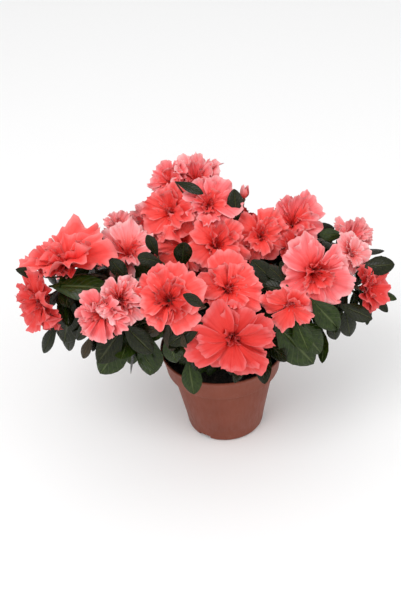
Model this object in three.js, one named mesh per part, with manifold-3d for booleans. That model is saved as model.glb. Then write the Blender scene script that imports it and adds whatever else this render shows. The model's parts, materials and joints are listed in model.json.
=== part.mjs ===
// A potted azalea: a low, spreading, double-flowered florist's azalea in an 11 cm nursery pot.
// Millimetres, +Z up. The origin is the centre of the pot's flat underside, and the side that the
// plant is shown from faces -Y. Azimuths are in degrees from +X, anticlockwise seen from above.
import * as THREE from "three";
import { mergeVertices } from "three/addons/utils/BufferGeometryUtils.js";
import Module from "manifold-3d";

const wasm = await Module();
wasm.setup();

// ---- driving dimensions -------------------------------------------------------------------------
const POT = {
  height: 86,
  rimRadius: 55, // outside, at the top of the flared collar
  collarHeight: 21,
  collarFootRadius: 50.5,
  shoulderRadius: 46.2, // outside, just under the collar
  baseRadius: 34.8,
  wall: 1.4,
  floor: 1.8,
  heelRadius: 4, // the rounded edge where the wall meets the underside
  sides: 36,
};
const DRAIN = {
  firstAzimuth: -127,
  notches: 3, // cut through the heel, so that water runs out beside the foot
  notchWidth: 12,
  notchHeight: 4.6,
  notchDepth: 7,
  holes: 6, // round, in the floor
  holeRadius: 3,
  holeRing: 21,
};
const SOIL = { belowRim: 10, crown: 2.5, clearance: 0.4, trunkSeat: 13, sides: 24 };
const TRUNK = { height: 28, footRadius: 8.5, neckRadius: 5.6, topRadius: 4.6, lean: 2.5, sides: 10 };
const BOUGH = {
  baseRadius: 2.5,
  tipRadius: 1.3,
  straight: 26, // how far it runs straight out of the trunk before it bends
  bend: 0.18, // the bend's reach, as a share of the way to the mass
  rings: 4,
  sides: 6,
};
const GAP = 0.4; // between solids that touch
const MASS_GAP = 0.8; // between neighbouring masses, split evenly
const MASS_DETAIL = 2; // subdivision of each mass's icosahedron
const LUMPS = { count: 7, height: 0.052, slowest: 4.4, fastest: 9.6 }; // waves over a mass's surface

const soilTop = POT.height - SOIL.belowRim + SOIL.crown;
const forkHeight = soilTop + TRUNK.height;

// ---- the crown ----------------------------------------------------------------------------------
// Each mass is a flower head with its collar of leaves, or a skirt of leaves alone. Its middle is
// placed by azimuth, reach from the pot's axis and height above the underside. It is a rounded pad,
// `wide` across and `deep` along the way it faces, which is `up` degrees above the horizon.
const MASSES = [
  // flower heads at the summit and over the middle
  { name: "head_summit", azimuth: 111, reach: 58, height: 224, wide: 54, deep: 42, up: 70 },
  { name: "head_top_left", azimuth: 138, reach: 54, height: 200, wide: 56, deep: 48, up: 55 },
  { name: "head_top_middle", azimuth: 98, reach: 30, height: 204, wide: 56, deep: 44, up: 65 },
  { name: "head_middle", azimuth: -70, reach: 6, height: 193, wide: 60, deep: 46, up: 60 },
  { name: "head_right_middle", azimuth: 25, reach: 44, height: 182, wide: 56, deep: 48, up: 60 },
  // the front
  { name: "head_front_middle", azimuth: -81, reach: 46, height: 172, wide: 62, deep: 48, up: 45 },
  { name: "head_front_low", azimuth: -87, reach: 72, height: 140, wide: 74, deep: 42, up: 30 },
  { name: "head_front_left", azimuth: -119, reach: 77, height: 182, wide: 64, deep: 50, up: 45 },
  { name: "head_front_right", azimuth: -50, reach: 78, height: 160, wide: 54, deep: 42, up: 25 },
  // the left
  { name: "head_left_middle", azimuth: 176, reach: 74, height: 183, wide: 56, deep: 40, up: 60 },
  { name: "head_left_front", azimuth: -144, reach: 101, height: 174, wide: 62, deep: 50, up: 35 },
  { name: "head_left", azimuth: -175, reach: 118, height: 196, wide: 72, deep: 38, up: 65 },
  { name: "head_far_left", azimuth: -167, reach: 153, height: 166, wide: 58, deep: 30, up: 5 },
  { name: "head_left_back", azimuth: 146, reach: 89, height: 182, wide: 52, deep: 38, up: 50 },
  // the right
  { name: "head_right", azimuth: -26, reach: 86, height: 176, wide: 72, deep: 52, up: 45 },
  { name: "head_right_top", azimuth: 33, reach: 81, height: 178, wide: 62, deep: 50, up: 55 },
  { name: "head_right_outer", azimuth: 0, reach: 112, height: 170, wide: 50, deep: 44, up: 40 },
  { name: "head_far_right", azimuth: -9, reach: 127, height: 148, wide: 46, deep: 38, up: 0 },
  { name: "head_right_back", azimuth: 24, reach: 122, height: 158, wide: 50, deep: 42, up: 35 },
  // the back
  { name: "head_back_top", azimuth: 97, reach: 90, height: 184, wide: 62, deep: 42, up: 45 },
  { name: "head_back_top_left", azimuth: 123, reach: 102, height: 174, wide: 60, deep: 40, up: 40 },
  { name: "head_back_top_right", azimuth: 66, reach: 86, height: 166, wide: 60, deep: 40, up: 45 },
  { name: "head_back_right", azimuth: 47, reach: 116, height: 144, wide: 60, deep: 36, up: 25 },
  { name: "head_back", azimuth: 86, reach: 120, height: 142, wide: 64, deep: 36, up: 15 },
  { name: "head_back_left", azimuth: 112, reach: 124, height: 148, wide: 60, deep: 36, up: 15 },
  { name: "head_back_outer_left", azimuth: 138, reach: 128, height: 150, wide: 60, deep: 36, up: 20 },
  { name: "head_back_far_left", azimuth: 160, reach: 138, height: 160, wide: 56, deep: 34, up: 20 },
  // leaves that hang round the foot of the crown
  { name: "skirt_front_left", azimuth: -128, reach: 76, height: 132, wide: 62, deep: 34, up: -20 },
  { name: "skirt_left_front", azimuth: -151, reach: 102, height: 130, wide: 60, deep: 30, up: -20 },
  { name: "skirt_left", azimuth: -171, reach: 126, height: 144, wide: 58, deep: 30, up: -20 },
  { name: "skirt_left_back", azimuth: 159, reach: 106, height: 132, wide: 64, deep: 28, up: -20 },
  { name: "skirt_back_left", azimuth: 124, reach: 96, height: 120, wide: 68, deep: 28, up: -20 },
  { name: "skirt_back_right", azimuth: 74, reach: 92, height: 116, wide: 72, deep: 28, up: -20 },
  { name: "skirt_right_back", azimuth: 25, reach: 102, height: 124, wide: 68, deep: 28, up: -20 },
  { name: "skirt_right", azimuth: -17, reach: 100, height: 130, wide: 58, deep: 34, up: -20 },
  { name: "skirt_front_right", azimuth: -46, reach: 76, height: 126, wide: 60, deep: 34, up: -20 },
];

// Each bough leaves the trunk `below` the fork, climbs at `rise` degrees and ends at its mass.
const BOUGHS = [
  { name: "bough_summit", to: "head_summit", below: 5, azimuth: 100, rise: 66 },
  { name: "bough_middle", to: "head_middle", below: 5, azimuth: -90, rise: 72 },
  { name: "bough_front_left", to: "head_front_left", below: 11, azimuth: -122, rise: 42 },
  { name: "bough_left_middle", to: "head_left_middle", below: 5, azimuth: 180, rise: 56 },
  { name: "bough_left", to: "head_left", below: 17, azimuth: -176, rise: 36 },
  { name: "bough_left_back", to: "head_back_far_left", below: 11, azimuth: 155, rise: 40 },
  { name: "bough_back_left", to: "head_back_left", below: 17, azimuth: 122, rise: 42 },
  { name: "bough_back_top", to: "head_back_top", below: 11, azimuth: 84, rise: 54 },
  { name: "bough_back_right", to: "head_back_right", below: 17, azimuth: 48, rise: 36 },
  { name: "bough_right_top", to: "head_right_top", below: 5, azimuth: 20, rise: 56 },
  { name: "bough_right", to: "head_right_outer", below: 11, azimuth: 2, rise: 42 },
  { name: "bough_front_right", to: "head_right", below: 17, azimuth: -34, rise: 38 },
  { name: "bough_front", to: "head_front_low", below: 12, azimuth: -82, rise: 46 },
];

// ---- helpers ------------------------------------------------------------------------------------
const radians = THREE.MathUtils.degToRad;

function around(azimuth, reach, height) {
  return new THREE.Vector3(reach * Math.cos(radians(azimuth)), reach * Math.sin(radians(azimuth)), height);
}

// A small seeded generator, so that every build gives the same plant.
function dice(seed) {
  let state = seed;
  return () => {
    state = (state * 1664525 + 1013904223) % 4294967296;
    return state / 4294967296;
  };
}

function bare(geometry) {
  const copy = geometry.clone();
  copy.deleteAttribute("normal");
  copy.deleteAttribute("uv");
  return mergeVertices(copy, 1e-3);
}

function toSolid(geometry) {
  const merged = bare(geometry);
  return new wasm.Manifold(
    new wasm.Mesh({
      numProp: 3,
      vertProperties: merged.attributes.position.array,
      triVerts: new Uint32Array(merged.index.array),
    }),
  );
}

function fromSolid(solid) {
  const mesh = solid.getMesh();
  const geometry = new THREE.BufferGeometry();
  geometry.setAttribute("position", new THREE.BufferAttribute(mesh.vertProperties, 3));
  geometry.setIndex(new THREE.BufferAttribute(mesh.triVerts, 1));
  return geometry;
}

function piece(name, geometry, material) {
  const flat = geometry.index ? geometry.toNonIndexed() : geometry;
  flat.computeVertexNormals();
  const mesh = new THREE.Mesh(flat, material);
  mesh.name = name;
  return mesh;
}

// Turns an outline of [radius, height] pairs about the vertical axis.
function turned(outline, sides) {
  const points = outline.map(([radius, height]) => new THREE.Vector2(radius, height));
  return new THREE.LatheGeometry(points, sides).rotateX(Math.PI / 2);
}

// A closed tube along a curve whose radius follows radiusAt(0 to 1).
function limb(curve, radiusAt, rings, sides) {
  const { normals, binormals } = curve.computeFrenetFrames(rings, false);
  const position = [];
  for (let i = 0; i <= rings; i++) {
    const middle = curve.getPointAt(i / rings);
    const radius = radiusAt(i / rings);
    for (let j = 0; j < sides; j++) {
      const angle = (2 * Math.PI * j) / sides;
      const out = middle
        .clone()
        .addScaledVector(normals[i], radius * Math.cos(angle))
        .addScaledVector(binormals[i], radius * Math.sin(angle));
      position.push(out.x, out.y, out.z);
    }
  }
  const index = [];
  for (let i = 0; i < rings; i++) {
    for (let j = 0; j < sides; j++) {
      const a = i * sides + j;
      const b = i * sides + ((j + 1) % sides);
      index.push(a, b, a + sides, b, b + sides, a + sides);
    }
  }
  for (let j = 1; j < sides - 1; j++) {
    index.push(0, j + 1, j);
    index.push(rings * sides, rings * sides + j, rings * sides + j + 1);
  }
  const geometry = new THREE.BufferGeometry();
  geometry.setAttribute("position", new THREE.Float32BufferAttribute(position, 3));
  geometry.setIndex(index);
  return geometry;
}

// ---- materials ----------------------------------------------------------------------------------
const plastic = new THREE.MeshStandardMaterial({ color: 0x7d4a3c, roughness: 0.5, metalness: 0 });
const peat = new THREE.MeshStandardMaterial({ color: 0x1c1512, roughness: 0.95, metalness: 0 });
const bark = new THREE.MeshStandardMaterial({ color: 0x5a4334, roughness: 0.85, metalness: 0 });
const blossom = new THREE.MeshStandardMaterial({ color: 0xf4675c, roughness: 0.7, metalness: 0 });
const foliage = new THREE.MeshStandardMaterial({ color: 0x26402a, roughness: 0.45, metalness: 0 });

// ---- pot: a thin-walled moulded cup with a flared collar and a notched, drained underside --------
function potOutline(inset) {
  const collarFoot = POT.height - POT.collarHeight;
  const heel = POT.heelRadius - Math.min(inset, POT.heelRadius - 1);
  const corner = [0, 30, 60, 90].map((angle) => [
    POT.baseRadius - inset - heel * (1 - Math.sin(radians(angle))),
    inset ? POT.floor + heel * (1 - Math.cos(radians(angle))) : heel * (1 - Math.cos(radians(angle))),
  ]);
  return [
    [0, inset ? POT.floor : 0],
    ...corner,
    [POT.shoulderRadius - inset, collarFoot + inset],
    [POT.collarFootRadius - inset, collarFoot + inset],
    [POT.rimRadius - inset, POT.height],
  ];
}

function makePot() {
  const outline = [...potOutline(0), ...potOutline(POT.wall).reverse()];
  let solid = toSolid(turned(outline, POT.sides));
  for (let i = 0; i < DRAIN.notches; i++) {
    const azimuth = DRAIN.firstAzimuth + (360 / DRAIN.notches) * i;
    const tool = new THREE.BoxGeometry(2 * DRAIN.notchDepth, DRAIN.notchWidth, 2 * DRAIN.notchHeight)
      .translate(POT.baseRadius, 0, 0)
      .rotateZ(radians(azimuth));
    solid = solid.subtract(toSolid(tool));
  }
  for (let i = 0; i < DRAIN.holes; i++) {
    const middle = around(DRAIN.firstAzimuth + 30 + (360 / DRAIN.holes) * i, DRAIN.holeRing, 0);
    const tool = new THREE.CylinderGeometry(DRAIN.holeRadius, DRAIN.holeRadius, 4 * POT.floor, 12)
      .rotateX(Math.PI / 2)
      .translate(middle.x, middle.y, 0);
    solid = solid.subtract(toSolid(tool));
  }
  return fromSolid(solid);
}

// ---- root ball: peat that fills the pot to a little below its rim, flat where the trunk stands ---
function makeRootBall() {
  const inset = POT.wall + SOIL.clearance;
  const wall = potOutline(inset).map(([radius, height]) => [radius, height + SOIL.clearance]);
  const [collarFoot, rim] = wall.slice(-2);
  const edge = POT.height - SOIL.belowRim;
  const share = (edge - collarFoot[1]) / (rim[1] - collarFoot[1]);
  const edgeRadius = THREE.MathUtils.lerp(collarFoot[0], rim[0], share);
  const outline = [
    ...wall.slice(0, -1),
    [edgeRadius, edge],
    [edgeRadius * 0.6, edge + SOIL.crown * 0.7],
    [SOIL.trunkSeat, soilTop],
    [0, soilTop],
  ];
  return turned(outline, SOIL.sides);
}

// ---- trunk: a short leaning stem with a root flare, from the soil to its fork --------------------
const trunkLine = new THREE.CatmullRomCurve3([
  new THREE.Vector3(0, 0, soilTop + GAP),
  new THREE.Vector3(TRUNK.lean * 0.3, -TRUNK.lean * 0.4, soilTop + TRUNK.height * 0.35),
  new THREE.Vector3(-TRUNK.lean * 0.2, TRUNK.lean * 0.2, soilTop + TRUNK.height * 0.7),
  new THREE.Vector3(0, 0, forkHeight),
]);

function trunkRadius(share) {
  const flare = Math.exp(-share * 7) * (TRUNK.footRadius - TRUNK.neckRadius);
  return THREE.MathUtils.lerp(TRUNK.neckRadius, TRUNK.topRadius, share) + flare;
}

// Levels the first ring, so that the trunk is cut flat where it meets the soil.
function makeTrunk(swell) {
  const geometry = limb(trunkLine, (share) => trunkRadius(share) + swell, 6, TRUNK.sides);
  const position = geometry.attributes.position;
  for (let j = 0; j < TRUNK.sides; j++) position.setZ(j, soilTop + GAP - swell);
  return geometry;
}

// ---- masses: uneven rounded pads, each cut flat where it meets a neighbour -----------------------
function facing(azimuth, up) {
  return around(azimuth, Math.cos(radians(up)), Math.sin(radians(up)));
}

function prepareMass(row, order) {
  const middle = around(row.azimuth, row.reach, row.height);
  const random = dice(order * 7919 + 17);
  const lumps = Array.from({ length: LUMPS.count }, () => ({
    way: new THREE.Vector3(random() - 0.5, random() - 0.5, random() - 0.5).normalize(),
    beat: THREE.MathUtils.lerp(LUMPS.slowest, LUMPS.fastest, random()),
    phase: 2 * Math.PI * random(),
  }));
  return { ...row, middle, lumps, front: facing(row.azimuth, row.up) };
}

// Distance from a mass's middle to its own uneven surface in a direction.
function ownReach(mass, way) {
  const along = way.dot(mass.front);
  const across = Math.sqrt(Math.max(0, 1 - along * along));
  const smooth = 1 / Math.hypot(along / (mass.deep / 2), across / (mass.wide / 2));
  const wave = (lump) => Math.sin(lump.beat * way.dot(lump.way) + lump.phase);
  const swell = mass.lumps.reduce((sum, lump) => sum + wave(lump), 0);
  return smooth * (1 + LUMPS.height * swell);
}

const masses = MASSES.map(prepareMass);

// The planes that keep a mass clear of its neighbours: each at its share of the way between middles.
function planesOf(mass) {
  return masses
    .filter((other) => other !== mass)
    .map((other) => {
      const way = other.middle.clone().sub(mass.middle);
      const apart = way.length();
      way.divideScalar(apart);
      const mine = ownReach(mass, way);
      const theirs = ownReach(other, way.clone().negate());
      return { way, at: (apart * mine) / (mine + theirs) - MASS_GAP / 2 };
    });
}

for (const mass of masses) mass.planes = planesOf(mass);

function reachOf(mass, way) {
  const limits = mass.planes.map(({ way: normal, at }) => {
    const towards = way.dot(normal);
    return towards > 1e-6 ? at / towards : Infinity;
  });
  return Math.min(ownReach(mass, way), ...limits);
}

function makeMass(mass) {
  const geometry = bare(new THREE.IcosahedronGeometry(1, MASS_DETAIL));
  const position = geometry.attributes.position;
  const way = new THREE.Vector3();
  for (let i = 0; i < position.count; i++) {
    way.fromBufferAttribute(position, i).normalize();
    const reach = reachOf(mass, way);
    position.setXYZ(
      i,
      mass.middle.x + way.x * reach,
      mass.middle.y + way.y * reach,
      mass.middle.z + way.z * reach,
    );
  }
  return geometry;
}

// ---- boughs: tapering limbs from the trunk to the mass that hides their ends ---------------------
function boughLine(row) {
  const mass = masses.find((one) => one.name === row.to);
  const start = trunkLine.getPointAt(1).setZ(forkHeight - row.below);
  const out = facing(row.azimuth, row.rise);
  const leave = start.clone().addScaledVector(out, BOUGH.straight);
  const knee = leave.clone().addScaledVector(out, BOUGH.bend * mass.middle.distanceTo(start));
  const full = new THREE.CubicBezierCurve3(start, leave, knee, mass.middle);
  const clear = (share) => {
    const point = full.getPointAt(share);
    const offset = point.clone().sub(mass.middle);
    return offset.length() - reachOf(mass, offset.clone().normalize());
  };
  let end = 1;
  while (clear(end) < GAP + BOUGH.tipRadius) end -= 0.004;
  const points = Array.from({ length: 7 }, (_, i) => full.getPointAt((end * i) / 6));
  return new THREE.CatmullRomCurve3(points);
}

function makeBough(row, swell) {
  const taper = (share) => THREE.MathUtils.lerp(BOUGH.baseRadius, BOUGH.tipRadius, share) + swell;
  return toSolid(limb(boughLine(row), taper, BOUGH.rings, BOUGH.sides));
}

// ---- the plant ----------------------------------------------------------------------------------
const plant = new THREE.Group();
plant.add(piece("pot", makePot(), plastic));
plant.add(piece("root_ball", makeRootBall(), peat));
plant.add(piece("trunk", makeTrunk(0), bark));

// Cuts a solid clear of the tools that reach it and keeps its largest piece.
function clearOf(solid, tools) {
  const reaching = tools.filter((tool) => solid.intersect(tool).volume() > 1e-6);
  const cut = reaching.reduce((rest, tool) => rest.subtract(tool), solid);
  return cut.decompose().sort((a, b) => b.volume() - a.volume())[0];
}

const tools = [toSolid(makeTrunk(GAP))];
for (const row of BOUGHS) {
  plant.add(piece(row.name, fromSolid(clearOf(makeBough(row, 0), tools)), bark));
  tools.push(makeBough(row, GAP));
}

// A mass that a bough brushes past is hollowed round it.
for (const mass of masses) {
  const material = mass.name.startsWith("skirt") ? foliage : blossom;
  plant.add(piece(mass.name, fromSolid(clearOf(toSolid(makeMass(mass)), tools)), material));
}

export default plant;
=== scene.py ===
import math

import bpy
import numpy as np
from mathutils import Matrix, Vector
from mathutils.noise import turbulence
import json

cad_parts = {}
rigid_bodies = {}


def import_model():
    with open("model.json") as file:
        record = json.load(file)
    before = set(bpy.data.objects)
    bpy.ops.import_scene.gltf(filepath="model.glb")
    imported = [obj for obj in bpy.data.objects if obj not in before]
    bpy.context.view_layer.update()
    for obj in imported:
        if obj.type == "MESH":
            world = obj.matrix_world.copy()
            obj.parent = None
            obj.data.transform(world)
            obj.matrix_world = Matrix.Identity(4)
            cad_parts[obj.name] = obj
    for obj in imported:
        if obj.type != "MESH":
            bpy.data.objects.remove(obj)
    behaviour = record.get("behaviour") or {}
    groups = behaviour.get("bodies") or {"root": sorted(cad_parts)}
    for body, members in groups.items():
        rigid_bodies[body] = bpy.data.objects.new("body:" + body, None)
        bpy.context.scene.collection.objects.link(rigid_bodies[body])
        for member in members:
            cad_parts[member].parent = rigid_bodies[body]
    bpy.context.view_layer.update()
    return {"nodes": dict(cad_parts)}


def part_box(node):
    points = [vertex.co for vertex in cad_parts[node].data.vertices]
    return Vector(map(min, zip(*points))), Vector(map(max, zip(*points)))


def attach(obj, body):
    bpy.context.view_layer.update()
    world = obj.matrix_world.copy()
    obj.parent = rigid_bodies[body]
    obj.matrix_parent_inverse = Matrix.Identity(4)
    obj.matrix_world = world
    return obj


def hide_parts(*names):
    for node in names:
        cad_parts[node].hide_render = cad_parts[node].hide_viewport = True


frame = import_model()


# ---- Studio ----
# A pale seamless floor under a wide soft light from above and to the left, with a bright even
# surround, and a camera that looks down on the plant at 35 degrees and is rolled a little.
def add_object(name, data):
    thing = bpy.data.objects.new(name, data)
    bpy.context.scene.collection.objects.link(thing)
    return thing


def add_light(name, place, aim, side, power):
    light = bpy.data.lights.new(name, "AREA")
    light.shape = "DISK"
    light.size = side
    light.energy = power
    lamp = add_object(name, light)
    lamp.location = place
    lamp.rotation_euler = (Vector(aim) - Vector(place)).to_track_quat("-Z", "Y").to_euler()


def add_camera(aim, distance, elevation, roll, lens):
    forward = Vector((0, math.cos(elevation), -math.sin(elevation)))
    right = Vector((1, 0, 0))
    up = right.cross(forward)
    rolled_right = right * math.cos(roll) - up * math.sin(roll)
    rolled_up = right * math.sin(roll) + up * math.cos(roll)
    turn = Matrix((rolled_right, rolled_up, -forward)).transposed()
    camera = add_object("camera", bpy.data.cameras.new("camera"))
    camera.data.lens = lens
    camera.data.clip_start = 0.01
    camera.matrix_world = Matrix.Translation(aim - forward * distance) @ turn.to_4x4()
    bpy.context.scene.camera = camera


def node_adder(tree):
    """A helper that adds a node to a tree, sets it up, and sets or wires its inputs."""

    def add(kind, inputs=None, **settings):
        node = tree.nodes.new(kind)
        for key, value in settings.items():
            setattr(node, key, value)
        for key, value in (inputs or {}).items():
            if isinstance(value, bpy.types.NodeSocket):
                tree.links.new(value, node.inputs[key])
            else:
                node.inputs[key].default_value = value
        return node

    return add


def new_material(name, inputs=None):
    """A material with some of its surface's inputs set, and helpers that add nodes and wire it."""
    material = bpy.data.materials.new(name)
    material.use_nodes = True
    tree = material.node_tree
    surface = tree.nodes["Principled BSDF"]
    for key, value in (inputs or {}).items():
        surface.inputs[key].default_value = value

    def wire(key, output):
        tree.links.new(output, surface.inputs[key])

    return material, node_adder(tree), wire


def studio_floor():
    mesh = bpy.data.meshes.new("floor")
    half = 15.0
    corners = [(-half, -half, 0), (half, -half, 0), (half, half, 0), (-half, half, 0)]
    mesh.from_pydata(corners, [], [(0, 1, 2, 3)])
    floor = add_object("floor", mesh)
    paint, _, _ = new_material("floor_paint", {"Base Color": (0.93, 0.93, 0.93, 1), "Roughness": 0.9})
    mesh.materials.append(paint)


add_camera(
    aim=Vector((-0.0164, 0, 0.1348)),
    distance=0.8,
    elevation=math.radians(35.44),
    roll=math.radians(3.9),
    lens=55.8,
)
add_light("soft_key", place=(-0.7, -0.9, 1.7), aim=(0, 0, 0.16), side=1.2, power=14)
add_light("soft_fill", place=(1.2, -0.9, 1.1), aim=(0, 0, 0.16), side=1.4, power=5)
studio_floor()
world = bpy.data.worlds.new("surround")
world.use_nodes = True
surround = world.node_tree.nodes["Background"].inputs
surround["Color"].default_value = (1, 1, 1, 1)
surround["Strength"].default_value = 0.86
bpy.context.scene.world = world
bpy.context.scene.view_settings.view_transform = "Standard"


# ---- Pot ----
# An 11 cm nursery pot, moulded in one piece from thin terracotta-brown plastic: a tapered cup with
# a flared collar, a rounded lip, and a floor pierced by drain holes and notched at its heel.
MM = 0.001  # metres in a millimetre
POT_HEIGHT = 86
POT_WALL = 1.4
POT_SIDES = 120
NOTCH_AZIMUTHS = [-127, -7, 113]
NOTCH_MIDDLE = (34.8 * MM, 0)  # from the axis, and above the ground
NOTCH_HALF = (7 * MM, 6 * MM, 4.6 * MM)
DRAIN_RING = 21 * MM
DRAIN_HOLES = 6
DRAIN_RADIUS = 3 * MM
DRAIN_SIDES = 20


def arc(middle, radius, start, end, steps=6):
    turns = np.radians(np.linspace(start, end, steps))
    return [(middle[0] + radius * math.cos(t), middle[1] + radius * math.sin(t)) for t in turns]


def pot_profile():
    """The wall's outline in millimetres from the middle of the underside, up the outside and down
    the inside; returned in metres."""
    lip = POT_WALL * 0.72
    foot = [(0, 0.9), (20, 0.9), (27.4, 0.9), (28.2, 0), *arc((31, 4), 4, -90, -8), (36.4, 14)]
    wall = [(36.6, 14.3), (41.4, 40), (46.0, 63.2)]
    collar = [*arc((47.0, 64.0), 0.9, 170, 100, 3), *arc((49.6, 65.9), 1.1, -90, -10, 4), (51.3, 70),
              (53.4, 79.6), (53.9, 82.2), (54.5, 83.3)]
    rim = arc((54.1, POT_HEIGHT - lip), lip, -10, 180, 8)
    inside = [(52.4, 79.6), (49.6, 67.4), (48.9, 66.6), (45.0, 65.2), (40.0, 40), (34.2, 8),
              *arc((31, 5.2), 2.8, 0, -90, 4), (20, 2.4), (0, 2.4)]
    return np.array(foot + wall + collar + rim + inside) * MM


def circle(radius, height, sides, shift=0):
    """Points evenly round the pot's axis, shifted by a share of a step."""
    turns = [math.tau * (j + shift) / sides for j in range(sides)]
    return [(radius * math.cos(turn), radius * math.sin(turn), height) for turn in turns]


def turned(profile, sides):
    """A solid of revolution: rings of points with one shared point wherever the radius is nil."""
    points, rings = [], []
    for radius, height in profile:
        if radius < 1e-9:
            rings.append([len(points)] * sides)
            points.append((0, 0, height))
            continue
        rings.append(list(range(len(points), len(points) + sides)))
        points += circle(radius, height, sides)
    faces = []
    for low, high in zip(rings, rings[1:]):
        for j in range(sides):
            k = (j + 1) % sides
            corners = list(dict.fromkeys([low[j], low[k], high[k], high[j]]))
            faces.append(corners)
    return points, faces


def add_piece(name, points, faces):
    mesh = bpy.data.meshes.new(name)
    mesh.from_pydata(points, [], faces)
    mesh.polygons.foreach_set("use_smooth", [True] * len(mesh.polygons))
    return add_object(name, mesh)


def settled(piece):
    """Replaces a piece's mesh by what its modifiers make of it."""
    depsgraph = bpy.context.evaluated_depsgraph_get()
    mesh = bpy.data.meshes.new_from_object(piece.evaluated_get(depsgraph))
    piece.modifiers.clear()
    piece.data = mesh
    return piece


def box_corners(middle, half, turn):
    spin = Matrix.Rotation(turn, 3, "Z")
    signs = [(-1, -1), (1, -1), (1, 1), (-1, 1)]
    return [
        tuple(spin @ Vector((middle[0] + x * half[0], y * half[1], middle[1] + z * half[2])))
        for z in (-1, 1)
        for x, y in signs
    ]


def drain_cutter():
    """Three boxes that notch the heel and six prisms that pierce the floor."""
    points, faces = [], []
    for azimuth in NOTCH_AZIMUTHS:
        base = len(points)
        points += box_corners(NOTCH_MIDDLE, NOTCH_HALF, math.radians(azimuth))
        sides = [(0, 1, 5, 4), (1, 2, 6, 5), (2, 3, 7, 6), (3, 0, 4, 7), (3, 2, 1, 0), (4, 5, 6, 7)]
        faces += [tuple(base + corner for corner in side) for side in sides]
    sides = DRAIN_SIDES
    rim = circle(DRAIN_RADIUS, 0, sides)
    for i in range(DRAIN_HOLES):
        turn = math.radians(NOTCH_AZIMUTHS[0] + 30 + 360 / DRAIN_HOLES * i)
        across, back = DRAIN_RING * math.cos(turn), DRAIN_RING * math.sin(turn)
        base = len(points)
        for height in (-3 * MM, 5 * MM):
            points += [(across + x, back + y, height) for x, y, _ in rim]
        for j in range(sides):
            k = (j + 1) % sides
            faces.append((base + j, base + k, base + sides + k, base + sides + j))
        faces.append(tuple(range(base + sides - 1, base - 1, -1)))
        faces.append(tuple(range(base + sides, base + 2 * sides)))
    return add_piece("drain_cutter", points, faces)


def noise(add, place, scale, detail, roughness=0.5):
    inputs = {"Vector": place, "Scale": scale, "Detail": detail, "Roughness": roughness}
    return add("ShaderNodeTexNoise", inputs).outputs["Fac"]


def maths(add, operation, *values):
    return add("ShaderNodeMath", dict(enumerate(values)), operation=operation).outputs["Value"]


def spread(add, value, low, high, least, most):
    """Maps the range from low to high onto the range from least to most."""
    inputs = {"Value": value, "From Min": low, "From Max": high, "To Min": least, "To Max": most}
    return add("ShaderNodeMapRange", inputs).outputs["Result"]


def mixed(add, share, first, second, **settings):
    inputs = {"Factor": share, 6: first, 7: second}
    return add("ShaderNodeMix", inputs, data_type="RGBA", **settings).outputs[2]


def ramp(add, share, stops):
    node = add("ShaderNodeValToRGB", {"Fac": share})
    elements = node.color_ramp.elements
    while len(elements) < len(stops):
        elements.new(0.5)
    for element, (place, colour) in zip(elements, stops):
        element.position = place
        element.color = (*colour, 1)
    return node.outputs["Color"]


def emboss(add, wire, height, strength, distance, **settings):
    """Gives a surface the relief of a pattern, at most distance metres deep."""
    inputs = {"Height": height, "Strength": strength, "Distance": distance}
    wire("Normal", add("ShaderNodeBump", inputs, **settings).outputs["Normal"])


def pot_plastic():
    """Terracotta-brown plastic: faint flow marks, dry peat dust that thickens towards the heel,
    fine upright scuffs, and a moulded micro-texture."""
    material, add, wire = new_material("pot_plastic", {"Specular IOR Level": 0.20})
    place = add("ShaderNodeTexCoord").outputs["Object"]
    stretch = add("ShaderNodeMapping", {"Vector": place, "Scale": (1, 1, 0.16)}).outputs["Vector"]
    flow = noise(add, place, 26.0, 4.0)
    scuffs = noise(add, stretch, 420.0, 3.0)
    dust = noise(add, place, 90.0, 6.0, 0.7)
    browns = [(0.25, (0.175, 0.042, 0.023)), (0.5, (0.202, 0.050, 0.028)), (0.8, (0.234, 0.064, 0.038))]
    specks = ramp(add, dust, [(0.60, (0, 0, 0)), (0.74, (1, 1, 1))])
    height = add("ShaderNodeSeparateXYZ", {"Vector": place}).outputs["Z"]
    share = maths(add, "MULTIPLY", specks, spread(add, height, 0.0, 0.03, 0.55, 0.16))
    wire("Base Color", mixed(add, share, ramp(add, flow, browns), (0.27, 0.15, 0.11, 1)))
    wire("Roughness", spread(add, scuffs, 0.3, 0.75, 0.42, 0.62))
    emboss(add, wire, scuffs, 0.10, 0.0006)
    return material


pot = add_piece("pot_shell", *turned(pot_profile(), POT_SIDES))
cutter = drain_cutter()
drilled = pot.modifiers.new("drained", "BOOLEAN")
drilled.operation = "DIFFERENCE"
drilled.solver = "EXACT"
drilled.object = cutter
settled(pot)
bpy.data.objects.remove(cutter)
pot.data.shade_smooth()
pot.data.set_sharp_from_angle(angle=math.radians(38))
pot.data.materials.clear()
pot.data.materials.append(pot_plastic())
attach(pot, "root")
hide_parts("pot")


# ---- Root ball ----
# Dark, moist peat packed to a little below the rim, with the pot's taper below. Its top is low
# round the wall and raised at the stem, and loose crumbs lie all over it.
SOIL_EDGE = (76 * MM, 50.2 * MM)  # height and radius where it meets the wall
SOIL_TOP = 78.5 * MM
CLOD_WIDTH = 9 * MM
CLOD_HEIGHT = 2.6 * MM
PEAT_SEED = 5


def soil_height(x, y):
    radius = math.hypot(x, y)
    share = min(1.0, radius / SOIL_EDGE[1])
    swell = SOIL_EDGE[0] + (SOIL_TOP - SOIL_EDGE[0]) * (1 - share * share)
    spot = Vector((x, y, 0.3)) / CLOD_WIDTH
    rough = turbulence(spot, 3, False, amplitude_scale=0.6, frequency_scale=2.3)
    near_stem = min(1.0, max(0.0, radius / (10 * MM) - 0.7))
    return swell + (rough - 0.35) * CLOD_HEIGHT * near_stem


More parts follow.
